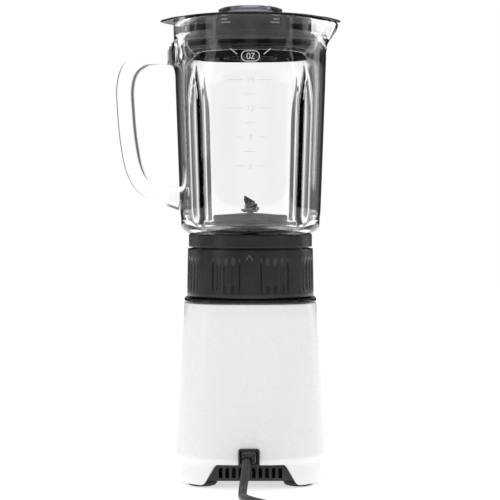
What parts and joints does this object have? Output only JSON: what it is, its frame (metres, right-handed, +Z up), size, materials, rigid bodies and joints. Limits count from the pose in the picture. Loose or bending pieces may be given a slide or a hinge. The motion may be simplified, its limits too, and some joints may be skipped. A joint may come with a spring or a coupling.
{
  "type": "countertop blender",
  "caption": "Countertop blender with a tapered plastic motor base, screw-on blade collar, square-rounded glass jug with handle and spout, plug lid and filler cap.",
  "frame": {"origin": "on the upright axis of the motor, at the table plane under the feet", "axes": "+Z up, -Y towards the controls, +Y towards the mains lead, +X towards the jug handle, -X towards the spout"},
  "size_m": [0.1924, 0.3529, 0.404],
  "materials": {
    "white_shell": "smooth satin-gloss moulded",
    "charcoal_plastic": "fine satin moulded",
    "black_gloss": "polished",
    "black_plastic": "satin",
    "rubber": "matte",
    "cord_jacket": "smooth sheath",
    "steel": "machined",
    "blade_steel": "ground",
    "lamination": "stacked laminations",
    "copper": "enamelled wire",
    "brass": "machined",
    "carbon": "pressed carbon",
    "board": "printed board",
    "fan_nylon": "moulded nylon",
    "red_plastic": "moulded",
    "silicone": "translucent grey",
    "glass": "clear pressed glass",
    "violet_clear": "clear tinted plastic"
  },
  "bodies": {
    "base": {"housing": "white_shell", "bottom_cover": "charcoal_plastic", "feet": "rubber", "cover_screws": "steel", "trim_ring": "black_gloss", "top_deck": "charcoal_plastic", "deck_screws": "steel", "stator_core": "lamination", "field_coils": "copper", "upper_bracket": "steel", "lower_bracket": "steel", "upper_bearing": "steel", "lower_bearing": "steel", "motor_bolts": "steel", "rubber_mounts": "rubber", "brush_holders": "brass", "carbon_brushes": "carbon", "speed_switch": "black_plastic", "control_board": "board", "interlock_switch": "black_plastic", "strain_relief": "black_plastic", "cord_lead": "cord_jacket", "cord_coil": "cord_jacket", "cord_tail": "cord_jacket", "cord_tie": "black_plastic", "plug_body": "cord_jacket", "plug_pins": "brass"},
    "rotor": {"motor_shaft": "steel", "armature_core": "lamination", "armature_windings": "copper", "commutator": "copper", "cooling_fan": "fan_nylon", "drive_coupling": "black_plastic"},
    "speed_knob": {"knob": "black_gloss", "knob_spindle": "steel"},
    "interlock": {"interlock_pin": "red_plastic", "interlock_spring": "steel"},
    "blade_unit": {"locking_collar": "charcoal_plastic", "blade_carrier": "black_plastic", "shaft_bushes": "brass", "shaft_seal": "rubber"},
    "blades": {"blade_shaft": "steel", "lower_blade": "blade_steel", "upper_blade": "blade_steel", "blade_nut": "steel", "driven_coupling": "black_plastic"},
    "jug_turn": {"gasket": "silicone"},
    "jug": {"jug_band": "charcoal_plastic", "glass_jug": "glass", "glass_handle": "glass"},
    "jug_lid": {"lid": "black_gloss", "lid_seal": "silicone"},
    "cap": {"filler_cap": "violet_clear"}
  },
  "joints": [
    {"name": "motor_spin", "type": "hinge", "parent": "base", "child": "rotor", "pos_m": [0, 0, 0.08], "axis": [0, 0, 1], "continuous": true},
    {"name": "speed_turn", "type": "hinge", "parent": "base", "child": "speed_knob", "pos_m": [0, -0.06286, 0.076], "axis": [0, -0.9966, 0.0826], "range_deg": [-90, 45]},
    {"name": "interlock_press", "type": "slide", "parent": "base", "child": "interlock", "axis": [0, 0, 1], "range_m": [-0.0025, 0], "stiffness_N_per_m": 300, "springref_m": 0.0008, "deforming": ["interlock_spring"]},
    {"name": "jug_lift", "type": "slide", "parent": "base", "child": "blade_unit", "axis": [0, 0, 1], "range_m": [0, 0.06]},
    {"name": "blade_spin", "type": "hinge", "parent": "blade_unit", "child": "blades", "pos_m": [0, 0, 0.2], "axis": [0, 0, 1], "continuous": true},
    {"name": "jug_unscrew", "type": "hinge", "parent": "blade_unit", "child": "jug_turn", "pos_m": [0, 0, 0.2], "axis": [0, 0, 1], "range_deg": [0, 120]},
    {"name": "jug_rise", "type": "slide", "parent": "jug_turn", "child": "jug", "axis": [0, 0, 1], "range_m": [0, 0.006]},
    {"name": "lid_lift", "type": "slide", "parent": "jug", "child": "jug_lid", "axis": [0, 0, 1], "range_m": [0, 0.05]},
    {"name": "cap_lift", "type": "slide", "parent": "jug_lid", "child": "cap", "axis": [0, 0, 1], "range_m": [0, 0.03]}
  ],
  "couplings": [
    {"joint": "blade_spin", "follows": "motor_spin", "ratio": 1},
    {"joint": "jug_rise", "follows": "jug_unscrew", "m_per_rad": 0.0028648}
  ]
}
